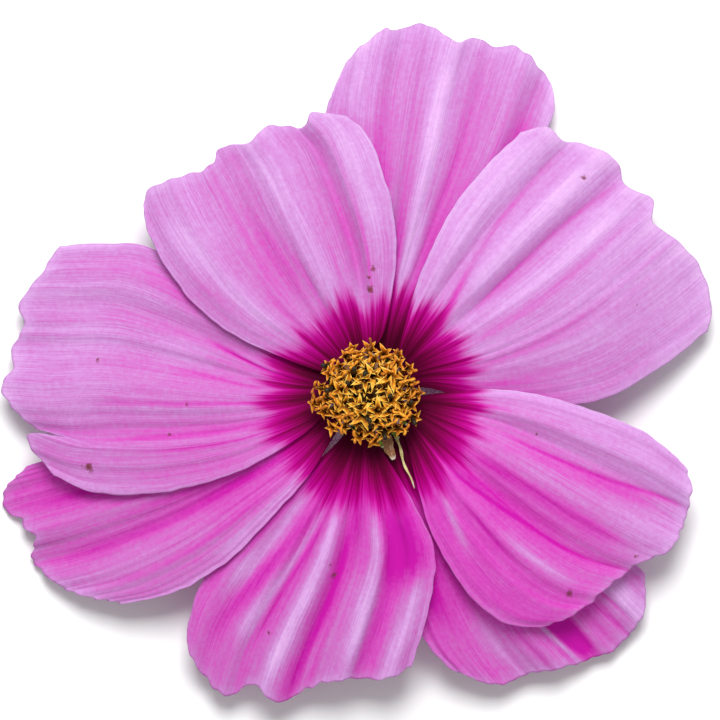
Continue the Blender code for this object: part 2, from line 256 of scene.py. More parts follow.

# Lengths in millimetres from the head's axis; see the notes on each key:
# heading: direction of the middle; root: direction and half width of the base; over: +1 lies over, -1 under
# left, right: margins from base to tip as (along, across); tip: toothed edge from left corner to right corner
# value: painted light and shade, how bright the whole petal is drawn for the way light falls on it, 1 being
# the lavender as mixed
# pleats: (place across, half width, height) of the long folds; depth: how rosy the left and right sides are,
# partly the petal's own colour and partly painted shade and light shining through
# tones: ((along, across) points, half width, depth) of long bands, depth above 0 rosier and below 0 paler;
# the bands are partly the petal's own streaks and partly painted shade in folds and painted highlight on
# ridges
# specks: (along, across, radius) of small brown marks; stain: radius of the crimson zone round the disc
petals = {
    "petal_upper_right": {
        "heading": 29, "root": (28, 1.7), "droop": 7.0, "over": (1, -1),
        "stain": 10.6, "depth": (-0.35, -0.2), "value": 0.93,
        "left": [(6.7, 4.2), (11.2, 8.5), (17.7, 13.1), (23.8, 15.6)],
        "right": [(6.3, -2.9), (12.5, -8.6), (21.6, -12.9), (29.9, -13.1)],
        "tip": [(28.6, 16.9), (31.5, 16.0), (32.2, 13.9), (34.4, 12.2), (36.4, 9.2), (35.9, 6.6),
                (37.6, 3.8), (36.8, 1.0), (38.3, -2.7), (38.9, -6.5), (37.6, -10.5), (36.2, -12.2)],
        "pleats": [(0.10, 0.06, 0.4), (0.19, 0.05, -0.6), (0.29, 0.05, 0.5), (0.39, 0.05, -0.6),
                   (0.55, 0.09, 0.3), (0.72, 0.12, 0.4)],
        "tones": [([(0.35, 0.24), (0.69, 0.19), (0.98, 0.17)], 0.013, 0.6),
                  ([(0.38, 0.39), (0.57, 0.37), (0.78, 0.37), (1.0, 0.41)], 0.014, 0.7),
                  ([(0.22, 0.30), (0.40, 0.24)], 0.02, 1.6), ([(0.3, 0.55), (0.9, 0.52)], 0.02, 0.5),
                  ([(0.25, 0.72), (0.7, 0.68)], 0.02, 0.6), ([(0.25, 0.85), (0.6, 0.83)], 0.02, 0.4),
                  ([(0.4, 0.30), (0.9, 0.29)], 0.03, -0.5), ([(0.4, 0.47), (0.95, 0.47)], 0.03, -0.5),
                  ([(0.3, 0.10), (0.9, 0.08)], 0.04, -0.3)],
        "specks": [(0.78, 0.76, 0.25), (0.89, 0.31, 0.35)],
    },
    "petal_top": {
        "heading": 77, "root": (66, 1.3), "droop": 7.9, "over": (-1, -1),
        "stain": 11.4, "depth": (-0.15, -0.05), "value": 0.9,
        "left": [(6.5, 1.6), (11.0, 4.6), (17.0, 8.4), (24.0, 11.2)],
        "right": [(6.5, -2.6), (11.0, -4.4), (17.0, -7.6), (25.5, -11.3)],
        "tip": [(30.5, 11.4), (35.4, 10.4), (39.6, 7.5), (39.8, 6.4), (41.4, 3.2), (40.2, -0.5),
                (41.2, -3.0), (40.6, -5.0), (41.2, -7.6), (38.7, -11.5), (37.1, -12.6), (35.1, -13.1)],
        "pleats": [(0.25, 0.08, 0.5), (0.38, 0.07, -0.6), (0.53, 0.07, 0.8), (0.68, 0.07, -0.6),
                   (0.78, 0.05, 0.4), (0.87, 0.04, -0.7)],
        "tones": [([(0.15, 0.56), (0.57, 0.56), (0.93, 0.54)], 0.03, -0.9),
                  ([(0.2, 0.50), (0.8, 0.48)], 0.03, 0.4), ([(0.5, 0.66), (0.9, 0.66)], 0.05, 0.15),
                  ([(0.6, 0.82), (0.86, 0.83), (1.0, 0.87)], 0.03, 0.2),
                  ([(0.2, 0.36), (0.9, 0.34)], 0.05, 0.35), ([(0.5, 0.95), (1.0, 0.96)], 0.03, -0.5),
                  ([(0.1, 0.40), (0.5, 0.42)], 0.04, -0.8), ([(0.08, 0.62), (0.45, 0.60)], 0.05, -0.9)],
    },
    "petal_upper_left": {
        "heading": 124, "root": (116, 2.4), "droop": 6.2, "over": (1, 1),
        "stain": 8.8, "depth": (0.1, 0.0), "value": 0.9,
        "left": [(5.2, 3.2), (12.0, 7.8), (17.1, 9.9), (22.4, 10.6), (27.5, 10.2)],
        "right": [(4.3, -4.8), (7.2, -7.9), (11.4, -11.4), (16.3, -13.9), (23.0, -15.7)],
        "tip": [(30.0, 9.4), (31.9, 7.6), (31.3, 4.2), (30.3, 0.7), (31.3, -1.8), (30.0, -4.6),
                (30.4, -7.2), (28.1, -10.5), (28.9, -12.0), (26.5, -15.0)],
        "pleats": [(0.16, 0.09, 0.5), (0.40, 0.10, -0.7), (0.57, 0.08, 0.7), (0.77, 0.04, -0.9),
                   (0.90, 0.07, 0.5)],
        "tones": [([(0.35, 0.74), (0.62, 0.76), (0.86, 0.77), (0.98, 0.80)], 0.03, 0.35),
                  ([(0.5, 0.90), (0.95, 0.90)], 0.06, -0.5),
                  ([(0.4, 0.43), (0.75, 0.41), (0.98, 0.37)], 0.05, 0.1),
                  ([(0.3, 0.58), (0.67, 0.58), (0.91, 0.56)], 0.035, -0.5),
                  ([(0.3, 0.2), (0.66, 0.17), (0.86, 0.11)], 0.06, -0.4),
                  ([(0.15, 0.3), (0.5, 0.28)], 0.015, 0.7), ([(0.15, 0.5), (0.55, 0.5)], 0.015, 0.6),
                  ([(0.15, 0.66), (0.5, 0.66)], 0.015, 0.6), ([(0.3, 0.84), (0.9, 0.85)], 0.012, 0.5)],
        "specks": [(0.36, 0.87, 0.45), (0.33, 0.83, 0.3), (0.28, 0.83, 0.5)],
    },
    "petal_left": {
        "heading": 176, "root": (178, 1.9), "droop": 6.8, "over": (1, -1),
        "stain": 10.4, "depth": (0.35, -0.15), "value": 0.96,
        "left": [(6.1, 4.4), (10.2, 7.5), (14.8, 10.1), (21.8, 12.4), (28.9, 13.0)],
        "right": [(6.0, -2.4), (11.0, -5.4), (17.0, -10.0), (24.8, -14.2), (31.0, -14.3)],
        "tip": [(33.8, 11.5), (36.9, 8.2), (36.7, 7.0), (32.9, 7.2), (36.7, 6.2), (40.3, 2.8),
                (39.4, -0.2), (39.7, -2.0), (38.5, -4.7), (39.2, -7.0), (37.4, -10.0), (35.1, -13.8)],
        "pleats": [(0.18, 0.10, 0.4), (0.36, 0.07, -0.5), (0.50, 0.08, 0.5), (0.64, 0.06, -0.5),
                   (0.77, 0.05, -0.6), (0.87, 0.06, 0.3)],
        "tones": [([(0.08, 0.72), (0.25, 0.75), (0.38, 0.78)], 0.014, 2.0),
                  ([(0.1, 0.5), (0.75, 0.47)], 0.012, 0.7), ([(0.1, 0.35), (0.8, 0.3)], 0.02, 0.7),
                  ([(0.1, 0.2), (0.6, 0.17)], 0.02, 0.8), ([(0.2, 0.6), (0.5, 0.62)], 0.012, 0.5),
                  ([(0.4, 0.68), (0.95, 0.66)], 0.05, -0.5), ([(0.5, 0.92), (1.0, 0.9)], 0.04, 0.3)],
        "specks": [(0.75, 0.61, 0.35), (0.58, 0.33, 0.3), (0.82, 0.10, 0.8), (0.47, 0.48, 0.25)],
    },
    "petal_lower_left": {
        "heading": 210, "root": (212, 1.3), "droop": 7.9, "over": (1, -1),
        "stain": 10.6, "depth": (0.4, 0.9), "value": 1.0,
        "left": [(7.1, 3.0), (10.0, 4.5), (14.5, 6.0), (22.3, 8.2), (29.5, 8.3)],
        "right": [(7.0, -1.4), (15.0, -4.2), (22.0, -7.0), (29.0, -10.0)],
        "tip": [(34.9, 6.6), (39.5, 2.6), (41.6, -2.3), (39.9, -4.6), (40.7, -6.3), (40.1, -7.0),
                (41.4, -8.4), (40.5, -10.8), (36.8, -11.8)],
        "pleats": [(0.22, 0.10, 0.4), (0.42, 0.07, -0.6), (0.60, 0.08, 0.5), (0.78, 0.06, -0.4)],
        "tones": [([(0.1, 0.08), (0.6, 0.08)], 0.06, -0.8), ([(0.15, 0.42), (0.9, 0.42)], 0.04, 0.7),
                  ([(0.1, 0.75), (0.9, 0.72)], 0.05, 0.7), ([(0.2, 0.6), (0.8, 0.58)], 0.02, -0.4),
                  ([(0.3, 0.2), (0.9, 0.22)], 0.02, 0.6), ([(0.2, 0.9), (0.7, 0.9)], 0.02, 0.6)],
    },
    "petal_bottom": {
        "heading": 260, "root": (259, 1.3), "droop": 7.0, "over": (1, -1),
        "stain": 11.7, "depth": (0.5, 0.75), "value": 1.04,
        "left": [(7.2, 3.8), (11.2, 7.2), (15.9, 10.2), (22.4, 10.6)],
        "right": [(7.0, -3.2), (13.0, -8.0), (18.0, -11.6), (24.1, -14.5)],
        "tip": [(28.7, 9.9), (30.6, 7.2), (31.2, 3.6), (32.6, 0.0), (35.3, -3.9), (33.8, -6.9),
                (35.7, -9.6), (33.5, -12.9), (31.4, -14.5), (29.2, -15.1)],
        "pleats": [(0.08, 0.05, 0.4), (0.18, 0.05, -0.6), (0.27, 0.06, 0.8), (0.43, 0.06, -0.9),
                   (0.54, 0.06, 0.9), (0.66, 0.05, -0.7), (0.74, 0.04, 0.3), (0.81, 0.05, -0.5),
                   (0.91, 0.05, 0.3)],
        "tones": [([(0.22, 0.84), (0.54, 0.84), (0.70, 0.88)], 0.05, -1.5),
                  ([(0.30, 0.72), (0.57, 0.77), (0.85, 0.84)], 0.03, 0.8),
                  ([(0.35, 0.65), (0.65, 0.71), (0.80, 0.74)], 0.03, -1.1),
                  ([(0.40, 0.60), (0.62, 0.64), (0.80, 0.66)], 0.015, 0.8),
                  ([(0.33, 0.54), (0.61, 0.54), (0.76, 0.54), (0.95, 0.56)], 0.03, -1.2),
                  ([(0.44, 0.45), (0.71, 0.43), (0.89, 0.46), (1.0, 0.48)], 0.035, 1.1),
                  ([(0.36, 0.29), (0.58, 0.26), (0.76, 0.26), (0.92, 0.25)], 0.03, -1.0),
                  ([(0.47, 0.21), (0.72, 0.19), (0.97, 0.20)], 0.022, 0.8),
                  ([(0.6, 0.07), (0.88, 0.10), (1.0, 0.10)], 0.035, -0.9),
                  ([(0.12, 0.14), (0.62, 0.12)], 0.13, 1.6), ([(0.2, 0.40), (0.45, 0.38)], 0.05, 0.8)],
        "specks": [(0.52, 0.50, 0.3), (0.56, 0.46, 0.4), (0.82, 0.61, 0.25)],
    },
    "petal_lower_right": {
        "heading": 303, "root": (297, 1.2), "droop": 7.4, "over": (-1, -1),
        "stain": 12.2, "depth": (0.65, 0.75), "value": 1.03,
        "left": [(6.5, 1.8), (14.0, 6.5), (22.0, 10.6), (28.0, 13.5)],
        "right": [(6.5, -2.0), (12.0, -4.6), (18.0, -7.4), (25.6, -9.5)],
        "tip": [(33.5, 14.8), (37.1, 12.3), (38.9, 7.6), (38.6, 6.8), (37.9, 3.4), (35.9, -1.7),
                (34.6, -5.9), (30.3, -9.0)],
        "pleats": [(0.20, 0.07, 0.4), (0.40, 0.07, -0.6), (0.56, 0.06, 0.7), (0.72, 0.07, -0.4)],
        "tones": [([(0.72, 0.45), (0.84, 0.42), (1.0, 0.44)], 0.05, 2.4),
                  ([(0.70, 0.30), (0.84, 0.29)], 0.05, 2.0),
                  ([(0.84, 0.36), (1.0, 0.375)], 0.02, -1.0), ([(0.86, 0.17), (1.0, 0.15)], 0.06, -1.4),
                  ([(0.62, 0.53), (0.84, 0.50), (0.94, 0.485), (1.0, 0.47)], 0.013, -1.6),
                  ([(0.8, 0.22), (0.95, 0.20)], 0.008, 1.1), ([(0.84, 0.27), (1.0, 0.25)], 0.008, 0.9),
                  ([(0.3, 0.9), (0.75, 0.85)], 0.06, 0.8), ([(0.74, 0.72), (1.0, 0.68)], 0.06, -0.7),
                  ([(0.8, 0.60), (1.0, 0.585)], 0.010, 0.6)],
    },
    "petal_right": {
        "heading": 333, "root": (337, 1.4), "droop": 5.9, "over": (1, 1),
        "stain": 11.8, "depth": (-0.1, 1.15), "value": 1.03,
        "left": [(7.9, 4.2), (12.4, 6.8), (17.4, 8.5), (23.7, 9.6), (29.2, 9.9)],
        "right": [(6.3, -3.0), (9.5, -6.7), (13.3, -10.6), (19.6, -14.5), (24.8, -15.6)],
        "tip": [(33.7, 9.0), (35.8, 7.7), (36.8, 5.8), (37.6, 2.8), (37.4, 1.8), (37.5, -0.2),
                (35.0, -3.2), (32.9, -7.5), (31.3, -11.1), (28.6, -14.2)],
        "pleats": [(0.12, 0.07, 0.4), (0.26, 0.06, -0.6), (0.40, 0.08, 0.6), (0.60, 0.05, -0.6),
                   (0.72, 0.06, 0.5), (0.85, 0.06, 0.3)],
        "tones": [([(0.40, 0.30), (0.64, 0.28), (0.83, 0.245), (0.99, 0.205)], 0.010, 1.1),
                  ([(0.15, 0.12), (0.34, 0.15)], 0.014, 0.8),
                  ([(0.45, 0.32), (0.64, 0.305), (0.9, 0.26)], 0.03, 0.7),
                  ([(0.32, 0.50), (0.58, 0.47), (0.89, 0.47)], 0.035, 1.0),
                  ([(0.26, 0.70), (0.55, 0.63), (0.74, 0.61), (0.88, 0.60), (1.0, 0.58)], 0.011, 1.1),
                  ([(0.3, 0.66), (0.55, 0.58), (0.74, 0.56)], 0.04, 0.5),
                  ([(0.61, 0.71), (0.88, 0.71)], 0.02, -0.9), ([(0.45, 0.75), (0.70, 0.77)], 0.015, 0.8),
                  ([(0.28, 0.81), (0.57, 0.90)], 0.025, -0.9)],
        "specks": [(0.91, 0.76, 0.45), (0.96, 0.50, 0.35), (0.46, 0.22, 0.25)],
    },
}


def petalPlan(petal, across, along):
    # the petal seen from above, stretched between its base, its margins and its tip
    look = petalLook
    columns, rows = look["columns"], look["rows"]
    turn = petal["root"][0] - petal["heading"]
    middle = polar(look["attachRadius"], turn)
    side = polar(petal["root"][1], turn + 90)
    base = curveThrough([middle + side, middle - side], columns)
    tip = curveThrough(petal["tip"], columns)
    left = curveThrough([base[0]] + petal["left"] + [tip[0]], rows)
    right = curveThrough([base[-1]] + petal["right"] + [tip[-1]], rows)
    j = np.rint(across * columns).astype(int)
    i = np.rint(along * rows).astype(int)
    v = across[:, None]
    u = along[:, None]
    corners = (1 - u) * ((1 - v) * base[0] + v * base[-1]) + u * ((1 - v) * tip[0] + v * tip[-1])
    return (1 - v) * left[i] + v * right[i] + (1 - u) * base[j] + u * tip[j] - corners


def petalHeight(petal, radius, across, along):
    look = petalLook
    out = np.maximum(radius - look["attachRadius"], 0.0)
    climb = look["rise"] * (1.0 - np.exp(-out / look["riseLength"]))
    fall = petal["droop"] * (out / (look["reach"] - look["attachRadius"])) ** look["droopPower"]
    spread = smoothStep(look["layerStart"], look["layerEnd"], radius)
    step = look["layerRoot"] + (look["layerStep"] - look["layerRoot"]) * spread
    layer = step * ((1 - across) * petal["over"][0] + across * petal["over"][1])
    fold = sum(high * bump1d(across, place, wide) for place, wide, high in petal["pleats"])
    fold = fold * smoothStep(0.12, 0.5, along)
    return climb - fall + layer + fold, fold


def petalRipple(petal, across, along, seed):
    # fine long ribs and a slightly wavy tip edge
    rng = random.Random(seed)
    ripple = np.zeros_like(across)
    for k in range(9):
        cycles = rng.uniform(5, 26)
        phase = rng.uniform(0, math.tau)
        drift = rng.uniform(-1.2, 1.2)
        ripple += np.sin(math.tau * cycles * across + phase + drift * along) * (0.5 / cycles)
    wave = sum(np.sin(math.tau * rng.uniform(2, 6) * across + rng.uniform(0, math.tau)) for k in range(3))
    ripple = ripple * petalLook["ribs"] * smoothStep(0.08, 0.35, along)
    return ripple + wave * petalLook["tipWave"] * smoothStep(0.75, 1.0, along)


def petalCrimp(across, along, seed):
    # small teeth on the tip's edge and a slight waviness of the margins
    rng = random.Random(seed)
    tip = np.zeros_like(across)
    margin = np.zeros_like(across)
    for k in range(6):
        tip += np.sin(math.tau * (rng.uniform(5, 22) * across + rng.random())) * rng.uniform(0.4, 1.0)
        margin += np.sin(math.tau * (rng.uniform(4, 16) * along + rng.random())) * rng.uniform(0.3, 0.8)
    outward = petalLook["crimp"] * tip * smoothStep(0.9, 1.0, along)
    outermost = smoothStep(0.9, 1.0, across) - smoothStep(0.1, 0.0, across)
    sideward = petalLook["crimp"] * 0.5 * margin * outermost
    return np.stack([outward, sideward * smoothStep(0.1, 0.4, along)], axis=1)


def softLine(along, points):
    # the place across the petal of a long band, with its corners rounded
    alongs, acrosses = zip(*points)
    return sum(np.interp(along + shift, alongs, acrosses) for shift in (-0.1, -0.05, 0.0, 0.05, 0.1)) / 5


def bandReach(along, points, before, after):
    # 1 along a band and 0 past its ends, fading from before its far end to after it
    start, end = points[0][0], points[-1][0]
    return smoothStep(start - 0.08, start + 0.08, along) * (1 - smoothStep(end - before, end + after, along))


def petalTones(petal, across, along):
    leftDepth, rightDepth = petal["depth"]
    # depth from the left side to the right one: partly own colour, partly painted shade and light shining
    # through
    total = leftDepth + (rightDepth - leftDepth) * smoothStep(0.1, 0.9, across)
    total = total + petalLook["baseRose"] * (1 - smoothStep(0.2, 0.95, along))
    total = total - petalLook["tipFade"] * smoothStep(0.6, 1.0, along)
    for points, wide, depth in petal["tones"]:
        reach = bandReach(along, points, 0.1, 0.08)
        total += depth * bump1d(across, softLine(along, points), wide) * reach
    # painted highlight: a pale line along the margins and the tip edge
    rim = np.minimum(across, 1 - across) / petalLook["rimAcross"]
    rim = np.minimum(rim, (1 - along) / petalLook["rimAlong"])
    return total - petalLook["paintedRimHighlight"] * np.exp(-rim ** 2)


def petalCreases(petal, across, along):
    # the narrow rosy lines are also grooves, and the narrow pale ones ridges
    groove = np.zeros_like(across)
    for points, wide, depth in petal["tones"]:
        if wide > petalLook["creaseLimit"]:
            continue
        reach = bandReach(along, points, 0.05, 0.1)
        groove += depth * bump1d(across, softLine(along, points), wide * petalLook["creaseSpread"]) * reach
    return groove * petalLook["creaseDepth"]


def petalSpecks(petal, plan, across, along):
    marks = np.zeros(len(plan))
    for u, v, radius in petal.get("specks", []):
        middle = plan[np.argmin((along - u) ** 2 + (across - v) ** 2)]
        gap = np.hypot(plan[:, 0] - middle[0], plan[:, 1] - middle[1])
        marks = np.maximum(marks, np.exp(-(gap / radius) ** 2))
    return marks


def petalMaterial():
    sheet = Sheet("petalLavender", roughness=0.6, specular=0.03)
    uv = sheet.uv("petalUv")
    turn = sheet.node("ShaderNodeCombineXYZ", {}, {"X": 0.0, "Y": 0.0, "Z": sheet.attribute("seed") * 7.3})
    uv = sheet.moved(uv, turn)
    fine = sheet.noise(sheet.scaled(uv, (230, 2.6, 1)), detail=3, roughness=0.6)
    broad = sheet.noise(sheet.scaled(uv, (38, 1.3, 1)), detail=2)
    bands = sheet.noise(sheet.scaled(uv, (11, 0.9, 1)), detail=2)
    patch = sheet.noise(sheet.scaled(sheet.place(), (110, 110, 110)), detail=3)
    # the tone attribute holds the petal's own streaks together with painted shade in folds and under
    # neighbours and painted highlight on ridges and rims
    tone = sheet.attribute("tone") + (fine - 0.5) * 1.5 + (broad - 0.5) * 0.8 + (bands - 0.5) * 0.6
    hair = sheet.noise(sheet.scaled(uv, (620, 9, 1)), detail=2, roughness=0.7)
    grain = sheet.noise(sheet.scaled(sheet.place(), (1900, 1900, 1900)), detail=3, roughness=0.7)
    tone = tone + (patch - 0.5) * 0.9 + (hair - 0.5) * 1.5 + (grain - 0.5) * 1.1
    lavender = sheet.ramp(tone * 0.3 + 0.4, [
        (0.0, (0.68, 0.41, 0.72)), (0.25, (0.55, 0.27, 0.59)), (0.45, (0.50, 0.165, 0.475)),
        (0.68, (0.54, 0.07, 0.42)), (1.0, (0.47, 0.008, 0.32))])
    lobes = sheet.noise(sheet.scaled(uv, (9, 0.6, 1)), detail=2)
    jag = sheet.noise(sheet.scaled(uv, (60, 1.8, 1)), detail=3, roughness=0.65)
    depth = (sheet.attribute("stain") + (lobes - 0.5) * 7.5 + (jag - 0.5) * 3.0) / 12.0 + 0.5
    core = depth + (jag - 0.5) * 0.35
    stain = sheet.ramp(core, [
        (0.0, (0.045, 0.0, 0.01)), (0.20, (0.10, 0.0, 0.026)), (0.33, (0.20, 0.0, 0.07)),
        (0.45, (0.34, 0.0, 0.16)), (0.56, (0.46, 0.005, 0.27)), (0.70, (0.49, 0.04, 0.36))])
    fade = sheet.ramp(depth, [(0.50, (0, 0, 0)), (0.72, (1, 1, 1))], "EASE")
    # painted light and shade: each petal's colour is scaled brighter or darker for the way light falls on it
    value = sheet.attribute("value")
    level = sheet.node("ShaderNodeCombineXYZ", {}, {"X": value, "Y": value, "Z": value})
    colour = sheet.scaled(sheet.mix(fade, stain, lavender), level)
    grit = sheet.noise(sheet.scaled(sheet.place(), (1500, 1500, 1500)), detail=2)
    mark = ((sheet.attribute("speck") + (grit - 0.5) * 2.5 - 0.45) * 4.0).clamp() * sheet.attribute("speck")
    colour = sheet.mix(mark, colour, (0.17, 0.035, 0.05))
    # painted light: the petals glow faintly in their own colour, standing in for light passing through them
    sheet.shader.inputs["Emission Strength"].default_value = petalLook["paintedThroughGlow"]
    sheet.tree.links.new(colour.socket, sheet.shader.inputs["Emission Color"])
    height = fine * 0.6 + broad * 0.5
    return sheet.finish(colour, bump=height, distance=0.12 * mm, strength=0.45)


def turned(plan, heading):
    angle = math.radians(heading)
    x = plan[:, 0] * math.cos(angle) - plan[:, 1] * math.sin(angle)
    y = plan[:, 0] * math.sin(angle) + plan[:, 1] * math.cos(angle)
    return np.stack([x, y], axis=1)


def marginPoints(petal, side):
    # one margin of a petal, seen from above, in millimetres from the head's axis
    along = np.linspace(0, 1, petalLook["rows"] + 1)
    plan = petalPlan(petal, np.full_like(along, 0.0 if side == "left" else 1.0), along)
    return turned(plan, petal["heading"])


def overlapShade(k, plan):
    # painted shade: 1 just beside the margin of a neighbour that lies over this petal, fading away from it
    ring = list(petals.values())
    shade = np.zeros(len(plan))
    for side, facing, step in (("left", "right", 1), ("right", "left", -1)):
        if ring[k]["over"][0 if side == "left" else 1] > 0:
            continue
        margin = marginPoints(ring[(k + step) % len(ring)], facing)
        gap = np.full(len(plan), 1e9)
        for point in margin[::2]:
            gap = np.minimum(gap, np.hypot(plan[:, 0] - point[0], plan[:, 1] - point[1]))
        shade = np.maximum(shade, np.exp(-gap / petalLook["shadeWidth"]))
    return shade


def makePetals():
    material = petalMaterial()
    for k, (name, petal) in enumerate(petals.items()):
        look = petalLook
        mesh, across, along = gridMesh(name, look["columns"], look["rows"], "petalUv")
        across = 1.0 - across  # across runs from the left margin to the right one, so the faces point up
        plan = petalPlan(petal, across, along) + petalCrimp(across, along, 200 + k)
        radius = np.linalg.norm(plan, axis=1)
        height, fold = petalHeight(petal, radius, across, along)
        height = height + petalRipple(petal, across, along, 100 + k) - petalCreases(petal, across, along)
        plan = turned(plan, petal["heading"])
        points = np.stack([axisX + plan[:, 0] * mm, axisY + plan[:, 1] * mm, attachZ + height * mm], axis=1)
        setShape(mesh, points)
        # painted shade and highlight: fold valleys are drawn rosier and fold ridges paler
        tone = petalTones(petal, across, along) - fold * look["foldShadeAndHighlight"]
        # painted shade: the tone is deepened beside the margin of an overlapping neighbour
        setAttribute(mesh, "tone", tone + overlapShade(k, plan) * look["shadeDepth"])
        setAttribute(mesh, "stain", radius - petal["stain"])
        setAttribute(mesh, "speck", petalSpecks(petal, plan, across, along))
        setAttribute(mesh, "seed", np.full_like(radius, k))
        setAttribute(mesh, "value", np.full_like(radius, petal["value"]))
        piece = addPiece(name.replace("_", "-"), mesh, material, [name])
        thicken(piece, look["thickness"])
    print("petals:", len(petals))


# --- bracts ---

# colours: body pale and deep, then the edge; turn: how far an outer bract stands past the middle of the gap
bractLook = {
    "inner": {"start": 4.1, "level": -2.0, "length": 8.5, "width": 3.8, "climb": 0.75, "climbLength": 2.2,
              "fall": 0.5, "thickness": 0.22,
              "colours": ((0.42, 0.52, 0.12), (0.22, 0.34, 0.05), (0.45, 0.40, 0.14))},
    "outer": {"start": 3.7, "level": -2.95, "length": 8.0, "width": 1.9, "climb": 0.1, "climbLength": 2.0,
              "fall": 1.9, "thickness": 0.3,
              "colours": ((0.22, 0.38, 0.09), (0.08, 0.19, 0.03), (0.30, 0.42, 0.14))},
    "turn": 13.0, "cup": 0.1, "rib": 0.06, "ribCycles": 3.5, "columns": 16, "rows": 40,
}


def bractMaterial(name, pale, deep, edge):
    sheet = Sheet(name, roughness=0.55, specular=0.35, sheen=0.05)
    uv = sheet.uv("bractUv")
    veins = sheet.noise(sheet.scaled(uv, (16, 1.5, 0)), detail=3)
    mottle = sheet.noise(sheet.scaled(sheet.place(), (700, 700, 700)), detail=2)
    body = sheet.ramp(veins * 0.7 + mottle * 0.3, [(0.3, deep), (0.65, pale)])
    colour = sheet.mix(sheet.attribute("edge"), body, edge)
    return sheet.finish(colour, bump=veins, distance=0.1 * mm, strength=0.6)


def makeBract(name, heading, look, material, node):
    mesh, across, along = gridMesh(name, bractLook["columns"], bractLook["rows"], "bractUv")
    across = 1.0 - across
    out = look["length"] * along
    half = look["width"] / 2 * (0.12 + 0.88 * np.sin(math.pi * along ** 0.8) ** 0.7)
    side = 1 - 2 * across
    climb = look["climb"] * (1 - np.exp(-out / look["climbLength"]))
    rib = bractLook["rib"] * np.cos(math.tau * bractLook["ribCycles"] * side) * np.sin(math.pi * along)
    level = look["level"] + climb - look["fall"] * along ** 2 + bractLook["cup"] * half * side ** 2 + rib
    angle = math.radians(heading)
    reach = look["start"] + out
    x = reach * math.cos(angle) - half * side * math.sin(angle)
    y = reach * math.sin(angle) + half * side * math.cos(angle)
    setShape(mesh, np.stack([axisX + x * mm, axisY + y * mm, attachZ + level * mm], axis=1))
    setAttribute(mesh, "edge", np.clip(np.abs(side) ** 4 + smoothStep(0.85, 1.0, along) * 0.6, 0, 1))
    piece = addPiece(name, mesh, material, [node])
    thicken(piece, look["thickness"] * mm)


def makeBracts():
    inner = bractLook["inner"]
    outer = bractLook["outer"]
    innerMaterial = bractMaterial("innerBractMembrane", *inner["colours"])
    outerMaterial = bractMaterial("outerBractGreen", *outer["colours"])
    roots = [petal["root"][0] for petal in petals.values()]
    ring = roots + [roots[0] + 360]
    for k, root in enumerate(roots):
        makeBract(f"innerBract{k + 1}", root, inner, innerMaterial, f"inner_bract_{k + 1}")
        between = (ring[k] + ring[k + 1]) / 2 + bractLook["turn"]
        makeBract(f"outerBract{k + 1}", between, outer, outerMaterial, f"outer_bract_{k + 1}")
    print("bracts:", 2 * len(roots))


# --- receptacle and stalk ---

stalkLook = {
    "stalkRadius": 1.2, "sides": 60, "ribs": 10, "ribDepth": 0.05,
    "profile": [(-4.6, 1.25), (-3.6, 1.7), (-2.8, 2.5), (-1.9, 3.2), (-0.9, 3.75), (0.0, 3.9),
                (0.35, 3.7), (0.65, 2.6), (0.85, 1.3), (0.85, 0.0)],
}


def makeStalk():
    look = stalkLook
    bm = bmesh.new()
    foot = (stalkLow.z - attachZ) / mm
    profile = [(foot, 0.0), (foot, 0.55), (foot, 1.08), (foot + 0.08, look["stalkRadius"])]
    profile += [(foot + (look["profile"][0][0] - foot) * t / 8, look["stalkRadius"]) for t in range(1, 8)]
    profile = np.array(profile + look["profile"])
    profile = np.vstack([profile[:4], curveThrough(profile[3:-1], 60)[1:], profile[-1]])
    line = [bm.verts.new((axisX + r * mm, axisY, attachZ + z * mm)) for z, r in profile]
    edges = [bm.edges.new(pair) for pair in zip(line, line[1:])]
    bmesh.ops.spin(bm, geom=line + edges, cent=(axisX, axisY, 0), axis=(0, 0, 1), angle=math.tau,
                   steps=look["sides"], use_merge=True)
    bmesh.ops.remove_doubles(bm, verts=bm.verts[:], dist=0.0005 * mm)
    for vert in bm.verts:
        side = Vector((vert.co.x - axisX, vert.co.y - axisY))
        if side.length > 1.0 * mm:
            rib = look["ribDepth"] * mm * math.cos(look["ribs"] * math.atan2(side.y, side.x))
            side = side * (1 + rib / side.length)
            vert.co.x, vert.co.y = axisX + side.x, axisY + side.y
    bmesh.ops.recalc_face_normals(bm, faces=bm.faces[:])
    mesh = bpy.data.meshes.new("stalk")
    bm.to_mesh(mesh)
    bm.free()
    mesh.shade_smooth()
    mesh.set_sharp_from_angle(angle=math.radians(50))
    sheet = Sheet("stalkGreen", roughness=0.5, specular=0.4)
    place = sheet.place()
    grain = sheet.noise(sheet.scaled(place, (1500, 1500, 120)), detail=3)
    blotch = sheet.noise(sheet.scaled(place, (250, 250, 250)), detail=2)
    colour = sheet.ramp(grain * 0.6 + blotch * 0.4, [
        (0.3, (0.10, 0.22, 0.03)), (0.55, (0.24, 0.42, 0.07)), (0.75, (0.40, 0.52, 0.14))])
    height = sheet.node("ShaderNodeSeparateXYZ", {}, {"Vector": place}, "Z")
    chaff = ((height - (attachZ - 0.1 * mm)) / (0.3 * mm)).clamp()
    colour = sheet.mix(chaff, colour, (0.24, 0.09, 0.012))
    material = sheet.finish(colour, bump=grain, distance=0.06 * mm, strength=0.5)
    addPiece("receptacleAndStalk", mesh, material, ["receptacle_and_stalk"])
    print("stalk and receptacle")


# --- disc florets ---

